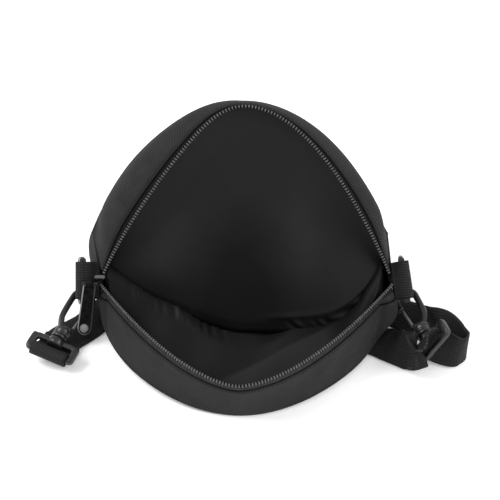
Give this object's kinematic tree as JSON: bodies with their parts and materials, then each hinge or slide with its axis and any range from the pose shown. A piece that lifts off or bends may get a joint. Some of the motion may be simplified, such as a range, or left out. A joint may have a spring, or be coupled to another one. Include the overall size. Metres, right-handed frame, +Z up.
{
  "type": "round shoulder bag",
  "caption": "Round soft shoulder bag lying open on its back, with a zip round its top half, a raised front panel, a dark lining, and a webbing strap on snap hooks and D-rings.",
  "frame": {"origin": "on the surface the bag lies on, in the flat resting area of its back panel", "axes": "+Z up from the surface, the open mouth faces -Y, the zip ends lie along X with the slider on the -X side"},
  "size_m": [0.2923, 0.267, 0.1533],
  "materials": {
    "twill": "matt black twill",
    "lining": "smooth black lining cloth",
    "zip": "black tape with a nylon coil",
    "webbing": "ribbed black webbing",
    "plastic": "satin black moulding",
    "metal": "black painted metal"
  },
  "bodies": {
    "bag": {"back_panel": "twill", "front_panel": "twill", "near_strip": "twill", "lid_strip": "twill", "bottom_gusset": "twill", "back_lining": "lining", "front_lining": "lining", "near_lining": "lining", "lid_lining": "lining", "gusset_lining": "lining", "near_zip": "zip", "lid_zip": "zip", "left_tab": "webbing", "right_tab": "webbing", "strap": "webbing", "left_ring": "plastic", "left_hook": "plastic", "left_loop": "plastic", "right_ring": "plastic", "right_hook": "plastic", "right_loop": "plastic", "zip_slider": "metal"},
    "puller": {"zip_puller": "metal"},
    "left_gate_lever": {"left_gate": "plastic"},
    "right_gate_lever": {"right_gate": "plastic"}
  },
  "joints": [
    {"name": "puller_swing", "type": "hinge", "parent": "bag", "child": "puller", "pos_m": [-0.104, -0.005, 0.039], "axis": [-1, 0, 0], "range_deg": [0, 110]},
    {"name": "left_gate_hinge", "type": "hinge", "parent": "bag", "child": "left_gate_lever", "pos_m": [-0.11643, -0.02114, 0.0116], "axis": [0.283, -0.261, 0.9229], "range_deg": [0, 20], "stiffness_Nm_per_rad": 0.02, "springref_deg": -11.46},
    {"name": "right_gate_hinge", "type": "hinge", "parent": "bag", "child": "right_gate_lever", "pos_m": [0.11085, -0.02219, 0.01609], "axis": [0.2859, 0.102, -0.9528], "range_deg": [0, 20], "stiffness_Nm_per_rad": 0.02, "springref_deg": -11.46}
  ]
}
